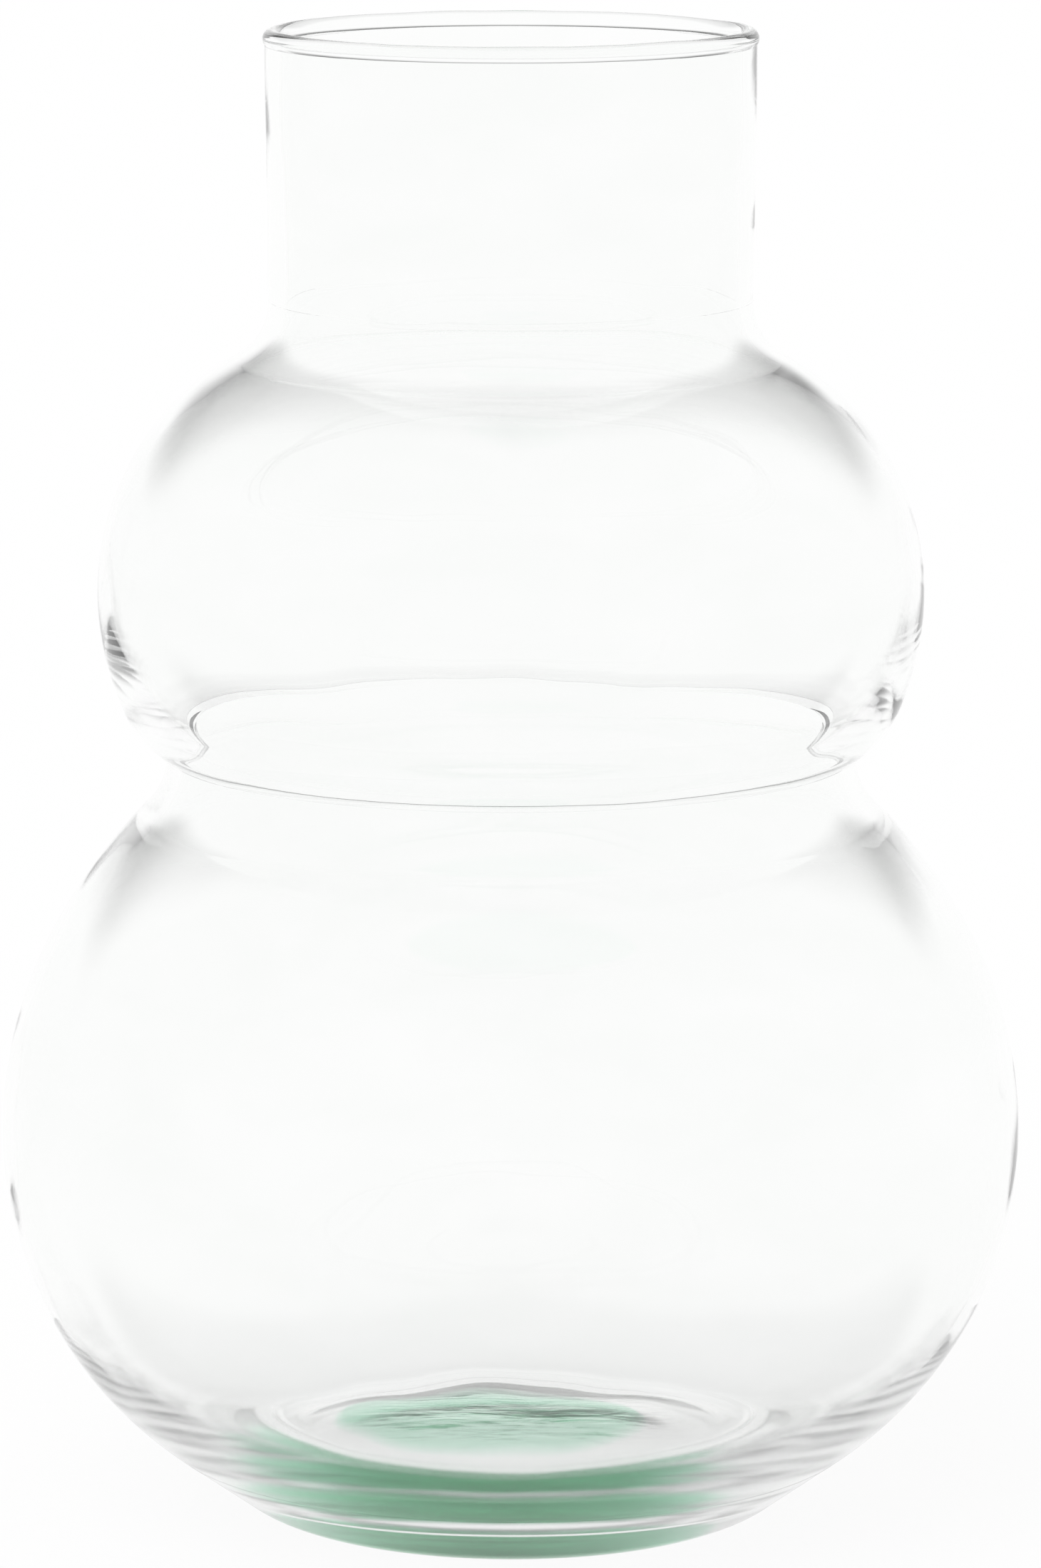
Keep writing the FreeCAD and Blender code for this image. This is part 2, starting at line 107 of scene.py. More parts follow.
class Seam(Enum):
    """What a run of a zone's outline is: open glass, or a face that meets the next zone."""

    SKIN = 0
    MEETS = 1


@dataclass(frozen=True)
class Spot:
    """A place on a zone's outline, in mm, and how the hand-made wall strays from true there.

    side is 1 on the outside of the wall and -1 on the inside, lift says how much the glass rises and
    falls there, and wander how much it follows the uneven edge of the green core, both from 0 to 1.
    """

    out: float
    up: float
    side: float = 1.0
    lift: float = 0.0
    wander: float = 0.0

    @property
    def place(self) -> Vector:
        """The place as a flat vector."""
        return Vector((self.out, self.up))


def upright_centre(widest: Spot, other: Spot) -> Vector:
    """Centre of the arc through both places that stands upright at the widest one."""
    inward, rise = widest.out - other.out, other.up - widest.up
    return Vector((widest.out - (inward * inward + rise * rise) / (2 * inward), widest.up))


def bowl_arc(widest: Vector, corner_centre: Vector, corner_radius: float) -> tuple[Vector, Vector]:
    """Finds the arc that stands upright at the widest place and that the corner's circle touches from inside.

    Args:
        widest: The widest place.
        corner_centre: Centre of the corner's circle.
        corner_radius: Its radius.

    Returns:
        The arc's centre, and the place where the circle touches it.
    """
    reach, rise = widest.x - corner_radius, widest.y - corner_centre.y
    out = (reach ** 2 - corner_centre.x ** 2 - rise ** 2) / (2 * (reach - corner_centre.x))
    centre = Vector((out, widest.y))
    return centre, centre + (corner_centre - centre).normalized() * (widest.x - out)


def blend(start: Vector, old_centre: Vector, round_centre: Vector,
          round_radius: float) -> tuple[Vector, Vector]:
    """Finds the arc that carries on smoothly from a place until it touches a circle.

    Args:
        start: Where the arc starts.
        old_centre: Centre of the arc that ends there.
        round_centre: Centre of the circle to touch.
        round_radius: Its radius.

    Returns:
        The arc's centre, and the place where it touches the circle.
    """
    square = (start - old_centre).normalized()
    reach = round_centre - start
    radius = (reach.dot(reach) - round_radius ** 2) / (2 * (round_radius - reach.dot(square)))
    centre = start - square * radius
    return centre, centre + (round_centre - centre) * (radius / (radius + round_radius))


def touch_below(point: Vector, centre: Vector, radius: float) -> Vector:
    """Where the straight line from a point touches the lower side of a circle."""
    reach = centre - point
    turn = math.atan2(reach.y, reach.x) + math.asin(radius / reach.length)
    way = math.sqrt(reach.dot(reach) - radius * radius)
    return point + Vector((math.cos(turn), math.sin(turn))) * way


class Outline:
    """A zone's outline in the upright half plane, as close-set spots joined in order."""

    def __init__(self, start: Spot) -> None:
        """Starts the outline at one spot."""
        self.spots = [start]
        self.runs: list[Seam] = []

    def run(self, end: Spot, steps: int, centre: Vector | None = None, seam: Seam = Seam.SKIN) -> "Outline":
        """Carries the outline on in a straight line or an arc, with finer steps at both ends of it.

        Args:
            end: Where the run ends, with its own side and lift.
            steps: Number of steps along the run.
            centre: Centre of the arc, or None for a straight line.
            seam: Whether the run is glass or meets the next zone.

        Returns:
            The outline itself, so that runs can follow each other.
        """
        start = self.spots[-1]
        if centre is not None:
            head, tail = start.place - centre, end.place - centre
            first = math.atan2(head.y, head.x)
            sweep = (math.atan2(tail.y, tail.x) - first + math.pi) % (2 * math.pi) - math.pi
        for step in range(1, steps + 1):
            share = (1 - math.cos(math.pi * step / steps)) / 2
            if centre is None:
                place = start.place.lerp(end.place, share)
            else:
                angle, reach = first + sweep * share, head.length + (tail.length - head.length) * share
                place = centre + Vector((math.cos(angle), math.sin(angle))) * reach
            strays = (getattr(start, key) * (1 - share) + getattr(end, key) * share for key in STRAYS)
            self.spots.append(Spot(place.x, place.y, *strays))
            self.runs.append(seam)
        return self

    def mesh(self, name: str) -> bpy.types.Mesh:
        """Makes the outline a mesh of plain vertices in metres, with its strays and seams as attributes."""
        mesh = bpy.data.meshes.new(name)
        mesh.from_pydata([(spot.out * MM, 0, spot.up * MM) for spot in self.spots], [], [])
        for key in STRAYS:
            values = mesh.attributes.new(key, "FLOAT", "POINT").data
            values.foreach_set("value", [getattr(spot, key) for spot in self.spots])
        meets = mesh.attributes.new("meets", "BOOLEAN", "POINT").data
        meets.foreach_set("value", [run is Seam.MEETS for run in self.runs] + [False])
        return mesh


@dataclass(frozen=True)
class HandWork:
    """How far hand-blown glass strays from a true turned shape, in mm.

    The skin only ever strays inwards. The edge of the green core wanders both ways inside the clear glass.
    """

    around: int = 256
    sway: float = 0.55
    sway_size: float = 95.0
    ripple: float = 0.16
    ripple_size: float = 26.0
    dimple: float = 0.7
    dimple_size: float = 15.0
    wander: float = 4.0
    wander_size: float = 22.0
    lean: float = -4.0
    seed: float = 4.0


def turning_tree() -> bpy.types.NodeTree:
    """Builds the node tree that turns an outline once round the axis and lets the glass stray a little.

    Returns:
        A geometry tree with named inputs for the turn's steps, each kind of straying, the seed and both
        materials.
    """
    tree = bpy.data.node_groups.new("turned_glass", "GeometryNodeTree")
    numbers = ("Sway", "Sway Size", "Ripple", "Ripple Size", "Dimple", "Dimple Size", "Wander", "Wander Size",
               "Lean", "Core", "Seed")
    sockets = (("Outline", "NodeSocketGeometry"), ("Around", "NodeSocketInt"),
               *((name, "NodeSocketFloat") for name in numbers),
               ("Skin", "NodeSocketMaterial"), ("Seam", "NodeSocketMaterial"))
    for name, kind in sockets:
        tree.interface.new_socket(name, in_out="INPUT", socket_type=kind)
    tree.interface.new_socket("Glass", in_out="OUTPUT", socket_type="NodeSocketGeometry")
    given = add_node(tree, "NodeGroupInput").outputs

    def maths(operation: str, *values: object) -> bpy.types.NodeSocket:
        """A sum of plain numbers in the tree."""
        return add_node(tree, "ShaderNodeMath", dict(enumerate(values)), operation=operation).outputs[0]

    def along(key: str, kind: str, place: bpy.types.NodeSocket) -> bpy.types.NodeSocket:
        """The value of one of the outline's attributes at a place along it."""
        value = add_node(tree, "GeometryNodeInputNamedAttribute", {"Name": key}, data_type=kind).outputs[0]
        return add_node(tree, "GeometryNodeSampleIndex", {0: given["Outline"], 1: value, "Index": place},
                        data_type=kind).outputs[0]

    count = add_node(tree, "GeometryNodeAttributeDomainSize", {0: given["Outline"]}).outputs["Point Count"]
    columns = maths("ADD", given["Around"], 1)
    grid = add_node(tree, "GeometryNodeMeshGrid",
                    {"Vertices X": columns, "Vertices Y": count}).outputs["Mesh"]
    index = add_node(tree, "GeometryNodeInputIndex").outputs[0]
    row = maths("FLOORED_MODULO", index, count)
    angle = maths("MULTIPLY", maths("DIVIDE", maths("FLOOR", maths("DIVIDE", index, count)), given["Around"]),
                  math.tau)
    place = add_node(tree, "GeometryNodeInputPosition").outputs[0]
    on_outline = add_node(tree, "GeometryNodeSampleIndex", {0: given["Outline"], 1: place, "Index": row},
                          data_type="FLOAT_VECTOR").outputs[0]
    apart = add_node(tree, "ShaderNodeSeparateXYZ", {0: on_outline}).outputs
    turned = add_node(tree, "ShaderNodeCombineXYZ", {
        "X": maths("MULTIPLY", apart["X"], maths("COSINE", angle)),
        "Y": maths("MULTIPLY", apart["X"], maths("SINE", angle)),
        "Z": apart["Z"]}).outputs[0]
    round_body = add_node(tree, "GeometryNodeSetPosition", {"Geometry": grid, "Position": turned}).outputs[0]

    kept = {}
    for key in STRAYS:
        store = add_node(tree, "GeometryNodeStoreNamedAttribute",
                         {"Geometry": round_body, "Name": key, "Value": along(key, "FLOAT", row)},
                         domain="POINT", data_type="FLOAT")
        round_body = store.outputs[0]
        kept[key] = add_node(tree, "GeometryNodeInputNamedAttribute", {"Name": key},
                             data_type="FLOAT").outputs[0]
    face_row = maths("FLOORED_MODULO", index, maths("SUBTRACT", count, 1))
    dressed = add_node(tree, "GeometryNodeSetMaterial", {"Geometry": round_body, "Material": given["Skin"]})
    dressed = add_node(tree, "GeometryNodeSetMaterial", {
        "Geometry": dressed.outputs[0], "Selection": along("meets", "BOOLEAN", face_row),
        "Material": given["Seam"]})
    closed = add_node(tree, "GeometryNodeMergeByDistance",
                      {"Geometry": dressed.outputs[0], "Distance": MERGE}).outputs[0]

    def stray(kind: str, where: bpy.types.NodeSocket = place) -> bpy.types.NodeSocket:
        """Soft noise from 0 to 1 over the glass for one kind of straying, with waves of its own size."""
        noise = add_node(tree, "ShaderNodeTexNoise", {
            "Vector": where, "W": maths("ADD", given["Seed"], PHASES[kind]),
            "Scale": maths("DIVIDE", 1, given[kind + " Size"]), "Detail": 1.0, "Roughness": 0.4},
            noise_dimensions="4D")
        return add_node(tree, "ShaderNodeMapRange", {
            "Value": noise.outputs["Fac"], "From Min": NOISE_ENDS[0], "From Max": NOISE_ENDS[1]}).outputs[0]

    flat = add_node(tree, "ShaderNodeVectorMath", {0: place, 1: (1, 1, 0)}, operation="MULTIPLY").outputs[0]
    outward = add_node(tree, "ShaderNodeVectorMath", {0: flat}, operation="NORMALIZE").outputs[0]
    sway = maths("MULTIPLY", given["Sway"], stray("Sway"))
    ripple = maths("MULTIPLY", maths("MULTIPLY", given["Ripple"], stray("Ripple")), kept["side"])
    on_rim = add_node(tree, "ShaderNodeVectorMath", {0: outward, "Scale": given["Core"]},
                      operation="SCALE").outputs[0]
    off_true = maths("SUBTRACT", stray("Wander", on_rim), 0.5)
    wander = maths("MULTIPLY", maths("MULTIPLY", given["Wander"], off_true), kept["wander"])
    inwards = add_node(tree, "ShaderNodeVectorMath",
                       {0: outward, "Scale": maths("SUBTRACT", wander, maths("ADD", sway, ripple))},
                       operation="SCALE").outputs[0]
    dimple = maths("MULTIPLY", maths("MULTIPLY", given["Dimple"], stray("Dimple")), kept["lift"])
    sunk = add_node(tree, "ShaderNodeCombineXYZ", {
        "X": maths("MULTIPLY", given["Lean"], kept["wander"]), "Z": maths("MULTIPLY", dimple, -1)}).outputs[0]
    offset = add_node(tree, "ShaderNodeVectorMath", {0: inwards, 1: sunk}, operation="ADD").outputs[0]
    strayed = add_node(tree, "GeometryNodeSetPosition", {"Geometry": closed, "Offset": offset}).outputs[0]

    smooth = add_node(tree, "GeometryNodeSetShadeSmooth", {"Geometry": strayed, "Shade Smooth": True},
                      domain="FACE")
    fold = add_node(tree, "GeometryNodeInputMeshEdgeAngle").outputs["Unsigned Angle"]
    sharp = add_node(tree, "FunctionNodeCompare", {"A": fold, "B": FOLD}, operation="GREATER_THAN",
                     data_type="FLOAT").outputs[0]
    edged = add_node(tree, "GeometryNodeSetShadeSmooth",
                     {"Geometry": smooth.outputs[0], "Selection": sharp, "Shade Smooth": False},
                     domain="EDGE")
    whole = add_node(tree, "GeometryNodeRealizeInstances", {"Geometry": edged.outputs[0]})
    add_node(tree, "NodeGroupOutput", {0: whole.outputs[0]})
    return tree


def settle(made: bpy.types.Object, tree: bpy.types.NodeTree, values: dict[str, object]) -> bpy.types.Object:
    """Runs a geometry tree on an object and keeps what it makes as a plain mesh.

    Args:
        made: The object whose mesh goes in.
        tree: The tree to run.
        values: Input name to value.

    Returns:
        The same object with the new mesh and no modifier.
    """
    modifier = made.modifiers.new(tree.name, "NODES")
    modifier.node_group = tree
    for item in tree.interface.items_tree:
        if item.in_out == "INPUT" and item.name in values:
            modifier[item.identifier] = values[item.name]
    graph = bpy.context.evaluated_depsgraph_get()
    mesh = bpy.data.meshes.new_from_object(made.evaluated_get(graph), preserve_all_data_layers=True,
                                           depsgraph=graph)
    made.modifiers.remove(modifier)
    old, made.data = made.data, mesh
    mesh.name = made.name
    bpy.data.meshes.remove(old)
    for key in (*STRAYS, "meets"):
        if key in mesh.attributes:
            mesh.attributes.remove(mesh.attributes[key])
    return made


def new_material(name: str) -> bpy.types.Material:
    """An empty material of the given name, ready for nodes."""
    made = bpy.data.materials.new(name)
    made.use_nodes = True
    made.node_tree.nodes.clear()
    return made


@dataclass(frozen=True)
class ClearGlass:
    """Clear soda-lime glass, blown and fire-polished: colourless in a thin wall, glossy, with soft cords.

    The foot was pitted by the marver and blurs a little. The middle of the base bears the scar of the
    pontil, the iron that held the vase: streaks drawn one way, which break up what lies behind them.
    """

    colour: str = "#ffffff"
    cord_colour: str = "#fbfcfb"
    ior: float = 1.5
    foot_roughness: float = 0.12
    polished_mm: tuple[float, float] = (14.0, 44.0)
    cord_mm: float = 34.0
    cord_depth_mm: float = 0.02
    scar_mm: float = 13.0
    scar_depth_mm: float = 0.3
    scar_r_mm: tuple[float, float] = (33.0, 25.0)
    scar_up_mm: tuple[float, float] = (19.0, 16.0)

    def streaks(self, tree: bpy.types.NodeTree, size: float, draw: tuple[float, float, float],
                depth: float) -> tuple[bpy.types.NodeSocket, bpy.types.NodeSocket]:
        """Adds drawn-out noise over the glass.

        Args:
            tree: The material's tree.
            size: Size of a streak in mm.
            draw: How much finer the noise is along each axis.
            depth: Height of the relief in mm.

        Returns:
            The noise from 0 to 1, and the relief in metres.
        """
        place = add_node(tree, "ShaderNodeTexCoord").outputs["Object"]
        drawn = add_node(tree, "ShaderNodeMapping", {"Vector": place, "Scale": draw}).outputs[0]
        noise = add_node(tree, "ShaderNodeTexNoise", {
            "Vector": drawn, "Scale": 1 / (size * MM), "Detail": 2.0, "Distortion": 0.6}).outputs["Fac"]
        relief = add_node(tree, "ShaderNodeMath", {0: noise, 1: depth * MM}, operation="MULTIPLY").outputs[0]
        return noise, relief

    def within(self, tree: bpy.types.NodeTree, value: bpy.types.NodeSocket,
               ends: tuple[float, float]) -> bpy.types.NodeSocket:
        """Goes from 0 at the first length in mm to 1 at the second."""
        return add_node(tree, "ShaderNodeMapRange", {
            "Value": value, "From Min": ends[0] * MM, "From Max": ends[1] * MM}).outputs[0]

    def material(self) -> bpy.types.Material:
        """Builds the clear glass material."""
        made = new_material("clear_soda_lime_glass_fire_polished")
        tree = made.node_tree
        cords, cord_relief = self.streaks(tree, self.cord_mm, (1, 1, 2.2), self.cord_depth_mm)
        _, scar_relief = self.streaks(tree, self.scar_mm, (1, 2.6, 1), self.scar_depth_mm)
        tint = add_node(tree, "ShaderNodeMix", {
            "Factor": cords, 6: linear(self.colour), 7: linear(self.cord_colour)},
            data_type="RGBA").outputs[2]
        place = add_node(tree, "ShaderNodeTexCoord").outputs["Object"]
        up = add_node(tree, "ShaderNodeSeparateXYZ", {0: place}).outputs["Z"]
        level = add_node(tree, "ShaderNodeVectorMath", {0: place, 1: (1, 1, 0)},
                         operation="MULTIPLY").outputs[0]
        out = add_node(tree, "ShaderNodeVectorMath", {0: level}, operation="LENGTH").outputs["Value"]
        scarred = add_node(tree, "ShaderNodeMath", {
            0: self.within(tree, out, self.scar_r_mm), 1: self.within(tree, up, self.scar_up_mm)},
            operation="MULTIPLY").outputs[0]
        height = add_node(tree, "ShaderNodeMath", {0: scar_relief, 1: scarred, 2: cord_relief},
                          operation="MULTIPLY_ADD").outputs[0]
        relief = add_node(tree, "ShaderNodeBump",
                          {"Height": height, "Strength": 1.0, "Distance": 1.0}).outputs[0]
        pitted = add_node(tree, "ShaderNodeMapRange", {
            "Value": self.within(tree, up, self.polished_mm), "To Min": self.foot_roughness, "To Max": 0.0})
        shader = add_node(tree, "ShaderNodeBsdfPrincipled", {
            "Base Color": tint, "Roughness": pitted.outputs[0], "IOR": self.ior, "Transmission Weight": 1.0,
            "Normal": relief})
        add_node(tree, "ShaderNodeOutputMaterial", {"Surface": shader.outputs[0]})
        return made

    def seam(self) -> bpy.types.Material:
        """The face inside the glass where one zone runs on into the next: light passes straight through."""
        made = new_material("seam_clear_to_clear")
        clear = add_node(made.node_tree, "ShaderNodeBsdfTransparent")
        add_node(made.node_tree, "ShaderNodeOutputMaterial", {"Surface": clear.outputs[0]})
        return made


@dataclass(frozen=True)
class GreenGlass:
    """Bottle-green recycled glass inside the clear: the deeper light travels, the greener it comes out.

    The three numbers say how strongly it absorbs red, green and blue, per metre. The headroom only keeps
    the node's colour above 0: it cancels out in what is absorbed.
    """

    absorbs_per_m: tuple[float, float, float] = (37.0, 11.5, 24.0)
    headroom: float = 1.25

    def material(self) -> bpy.types.Material:
        """Builds the green: no surface of its own, as it is fused into the clear, and a colour by depth."""
        made = new_material("bottle_green_recycled_glass")
        most = max(self.absorbs_per_m) * self.headroom
        passed = tuple(1 - share / most for share in self.absorbs_per_m)
        depth = add_node(made.node_tree, "ShaderNodeVolumeAbsorption",
                         {"Color": (*passed, 1.0), "Density": most})
        clear = add_node(made.node_tree, "ShaderNodeBsdfTransparent")
        add_node(made.node_tree, "ShaderNodeOutputMaterial",
                 {"Surface": clear.outputs[0], "Volume": depth.outputs[0]})
        return made


@dataclass
class Zone:
    """A zone of the vase between two levels, turned from an outline. In mm, heights above the floor."""

    node: str
    hand: HandWork
    gap: float = 0.01

    def outline(self) -> Outline:
        """The closed outline of the zone. Each kind of zone gives its own."""
        raise NotImplementedError

    def build(self, tree: bpy.types.NodeTree, skin: bpy.types.Material, seam: bpy.types.Material,
              slot: str) -> bpy.types.Object:
        """Turns the zone's outline into glass and puts it in the place of its node.

        Args:
            tree: The tree that turns outlines.
            skin: Material of the glass.
            seam: Material of the faces that meet the next zone.
            slot: The record's material slot; not used.

        Returns:
            The finished piece.
        """
        piece = bpy.data.objects.new("glass_" + self.node, self.outline().mesh(self.node))
        bpy.context.scene.collection.objects.link(piece)
        hand = self.hand
        settle(piece, tree, {
            "Around": hand.around, "Sway": hand.sway * MM, "Sway Size": hand.sway_size * MM,
            "Ripple": hand.ripple * MM, "Ripple Size": hand.ripple_size * MM, "Dimple": hand.dimple * MM,
            "Dimple Size": hand.dimple_size * MM, "Wander": hand.wander * MM,
            "Wander Size": hand.wander_size * MM, "Lean": hand.lean * MM, "Core": BOTTOM.core_foot_r * MM,
            "Seed": hand.seed, "Skin": skin, "Seam": seam})
        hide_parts(self.node)
        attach(piece, BODY)
        LOG.info("%s: %d faces", piece.name, len(piece.data.polygons))
        return piece


@dataclass(frozen=True)
class Dome:
    """A shallow dome about the axis, in mm: how far its middle stands above its rim, and where."""

    rim_r: float
    rim_up: float
    rise: float

    @property
    def round(self) -> float:
        """Radius of the dome's arc."""
        return (self.rim_r ** 2 + self.rise ** 2) / (2 * self.rise)

    @property
    def centre(self) -> Vector:
        """Centre of the dome's arc, on the axis."""
        return Vector((0, self.rim_up + self.rise - self.round))

    def at(self, out: float, side: float, wander: float = 0.0) -> Spot:
        """The spot on the dome at a distance from the axis. It is most uneven in the middle."""
        level = 1 - out / self.rim_r
        up = self.centre.y + math.sqrt(self.round ** 2 - out ** 2)
        return Spot(out, up, side * (1 - level), level, wander)


@dataclass(frozen=True)
class Bottom:
    """The shapes at the bottom of the vase that several zones share, in mm."""

    floor: Dome = Dome(39.8, 13.0, 1.5)
    punt: Dome = Dome(43.0, 0.0, 5.0)
    edge_r: float = 68.5
    corner_round: float = 52.05
    core_foot_r: float = 31.0
    core_top_r: float = 29.05


BOTTOM = Bottom()


@dataclass
class GreenCore(Zone):
    """The thick disc of green glass in the middle of the base, a hair inside the clear skin all round."""

    skin: float = 0.03
    foot_skin: float = 0.8
    top_skin: float = 0.3

    def outline(self) -> Outline:
        """From the punt's middle out along it, up the cone and back under the floor."""
        def sunk(spot: Spot, skin: float) -> Spot:
            """The spot moved up, or down for a negative skin."""
            return replace(spot, up=spot.up + skin)

        return (Outline(sunk(BOTTOM.punt.at(0, 0), self.skin))
                .run(sunk(BOTTOM.punt.at(BOTTOM.core_foot_r, 0, 1), self.foot_skin), 44, BOTTOM.punt.centre)
                .run(sunk(BOTTOM.floor.at(BOTTOM.core_top_r, -1, 1), -self.top_skin), 8)
                .run(sunk(BOTTOM.floor.at(0, -1), -self.skin), 44, BOTTOM.floor.centre))


@dataclass
class Base(Zone):
    """The thick clear base round the core: punt, flat foot ring, round heel, sloping side and floor."""

    foot_r: float = 46.0
    heel_round: float = 14.31
    rim_ease: float = 1.8
    rim_round: float = 15.4

    def outline(self) -> Outline:
        """From the punt's middle out over the foot ring, up to the seam and back over the floor."""
        top = BOTTOM.floor.rim_up - self.gap
        heel_centre = Vector((self.foot_r, self.heel_round))
        rim = Vector((BOTTOM.punt.rim_r + self.rim_ease, self.rim_round))
        edge = Spot(BOTTOM.edge_r, top)
        heel_end = touch_below(edge.place, heel_centre, self.heel_round)
        return (Outline(BOTTOM.punt.at(0, 0))
                .run(BOTTOM.punt.at(BOTTOM.punt.rim_r - self.rim_ease, 0), 50, BOTTOM.punt.centre)
                .run(Spot(rim.x, 0, 0), 12, rim)
                .run(Spot(self.foot_r, 0, 0), 6)
                .run(Spot(heel_end.x, heel_end.y), 34, heel_centre)
                .run(edge, 20)
                .run(Spot(BOTTOM.floor.rim_r, top, -1), 4, seam=Seam.MEETS)
                .run(BOTTOM.floor.at(0, -1), 50, BOTTOM.floor.centre))


@dataclass
class LowerBulb(Zone):
    """The round belly, thick where it leaves the base, thin at its widest, drawn in to the waist.

    The chill is a low ridge round the inner floor, where the glass set first.
    """

    belly_r: float = 100.0
    belly_up: float = 74.5
    wall: float = 2.2
    waist_r: float = 67.4
    waist_up: float = 149.3
    waist_wall: float = 3.8
    waist_hollow: float = 14.8
    shoulder_in: float = 0.37
    shoulder_rise: float = 0.58
    chill_r: float = 47.3
    chill_width: float = 1.4
    chill_height: float = 0.42
    chill_steps: int = 18

    def side(self, belly_r: float, waist_r: float, hollow: float, face: float) -> tuple[Spot, list]:
        """The shoulder's places for one face of the wall.

        Args:
            belly_r: Radius at the widest place.
            waist_r: Radius at the waist.
            hollow: Radius of the hollow that leads into the crease.
            face: 1 for the outside, -1 for the inside.

        Returns:
            The widest spot, and each later spot with the centre of the arc that leads to it.
        """
        top = self.waist_up - self.gap
        widest = Spot(belly_r, self.belly_up, face)
        shoulder = Spot(belly_r - (belly_r - waist_r) * self.shoulder_in,
                        self.belly_up + (self.waist_up - self.belly_up) * self.shoulder_rise, face)
        centre = upright_centre(widest, shoulder)
        hollow_centre = Vector((waist_r + hollow, self.waist_up))
        flank_centre, flank_end = blend(shoulder.place, centre, hollow_centre, hollow)
        flank = Spot(flank_end.x, flank_end.y, face)
        return widest, [(shoulder, centre), (flank, flank_centre), (Spot(waist_r, top, face), hollow_centre)]

    def outline(self) -> Outline:
        """Up the outside to the waist, in across the seam and down the inside to the floor's edge."""
        low = BOTTOM.floor.rim_up + self.gap
        edge, corner = Spot(BOTTOM.edge_r, low), Spot(BOTTOM.floor.rim_r, low, -1)
        widest, outer = self.side(self.belly_r, self.waist_r, self.waist_hollow, 1)
        bowl, inner = self.side(self.belly_r - self.wall, self.waist_r - self.waist_wall,
                                self.waist_hollow + self.waist_wall, -1)
        steps = (38, 22, 20)
        made = Outline(edge).run(widest, 52, upright_centre(widest, edge))
        for (spot, centre), count in zip(outer, steps):
            made.run(spot, count, centre)
        made.run(inner[-1][0], 2, seam=Seam.MEETS)
        ends = [bowl, inner[0][0], inner[1][0]]
        for at in (2, 1, 0):
            made.run(ends[at], steps[at], inner[at][1])
        corner_centre = corner.place + (corner.place - BOTTOM.floor.centre).normalized() * BOTTOM.corner_round
        bowl_centre, bowl_end = bowl_arc(bowl.place, corner_centre, BOTTOM.corner_round)
        made.run(Spot(bowl_end.x, bowl_end.y, -1), 30, bowl_centre)
        chill_ends = (self.chill_r + self.chill_width, self.chill_r - self.chill_width)
        for out, count in zip(chill_ends, (44, self.chill_steps)):
            drop = math.sqrt(BOTTOM.corner_round ** 2 - (out - corner_centre.x) ** 2)
            made.run(Spot(out, corner_centre.y - drop, -1), count, corner_centre)
        first = len(made.spots) - self.chill_steps
        for index, spot in enumerate(made.spots[first:], first):
            off = (spot.out - self.chill_r) / self.chill_width
            made.spots[index] = replace(spot, up=spot.up + self.chill_height * (1 - off * off) ** 2)
        return made.run(corner, 10, corner_centre).run(edge, 4, seam=Seam.MEETS)


@dataclass
class UpperBulb(Zone):
    """The smaller bulb: tight underneath at the crease, drawn in at its crown to the neck's root."""

    waist_r: float = 67.4
    waist_up: float = 149.3
    waist_wall: float = 3.8
    bulb_r: float = 80.5
    bulb_up: float = 181.5
    wall: float = 2.2
    under_in: float = 0.36
    under_down: float = 0.71
    root_r: float = 47.15
    root_up: float = 238.0
    root_wall: float = 3.15
    root_round: float = 12.75

    def outline(self) -> Outline:
        """Up the outside to the neck's root, in across the seam and down the inside to the waist."""
        low, top = self.waist_up + self.gap, self.root_up - self.gap
        waist, waist_in = Spot(self.waist_r, low), Spot(self.waist_r - self.waist_wall, low, -1)
        under = Spot(self.bulb_r - (self.bulb_r - self.waist_r) * self.under_in,
                     self.bulb_up - (self.bulb_up - self.waist_up) * self.under_down)
        widest, widest_in = Spot(self.bulb_r, self.bulb_up), Spot(self.bulb_r - self.wall, self.bulb_up, -1)
        under_centre = upright_centre(widest, under)
        tight_centre, crease = blend(under.place, under_centre, waist.place, 0)
        root, root_in = Spot(self.root_r, top), Spot(self.root_r - self.root_wall, top, -1)
        root_centre = Vector((self.root_r + self.root_round, self.root_up))
        crown_centre, crown_end = blend(widest.place, under_centre, root_centre, self.root_round)
        round_in = self.root_round + self.root_wall
        low_centre = upright_centre(widest_in, waist_in)
        root_centre_in = Vector((root_in.out + round_in, self.root_up))
        crown_centre_in, crown_end_in = blend(widest_in.place, low_centre, root_centre_in, round_in)
        return (Outline(waist)
                .run(under, 22, tight_centre)
                .run(widest, 24, under_centre)
                .run(Spot(crown_end.x, crown_end.y), 44, crown_centre)
                .run(root, 24, root_centre)
                .run(root_in, 2, seam=Seam.MEETS)
                .run(Spot(crown_end_in.x, crown_end_in.y, -1), 24, root_centre_in)
                .run(widest_in, 44, crown_centre_in)
                .run(waist_in, 34, low_centre)
                .run(waist, 2, seam=Seam.MEETS))


@dataclass
class Neck(Zone):
    """The straight collar, with an outside that leans out a little towards the mouth."""

    root_r: float = 47.15
    mouth_r: float = 47.6
    bore_r: float = 44.0
    root_up: float = 238.0
    top_up: float = 287.0

    def outline(self) -> Outline:
        """Up the outside, across the upper seam, down the bore and across the lower seam."""
        low, top = self.root_up + self.gap, self.top_up - self.gap
        return (Outline(Spot(self.root_r, low))
                .run(Spot(self.mouth_r, top), 40)
                .run(Spot(self.bore_r, top, -1), 2, seam=Seam.MEETS)
                .run(Spot(self.bore_r, low, -1), 40)
                .run(Spot(self.root_r, low), 2, seam=Seam.MEETS))


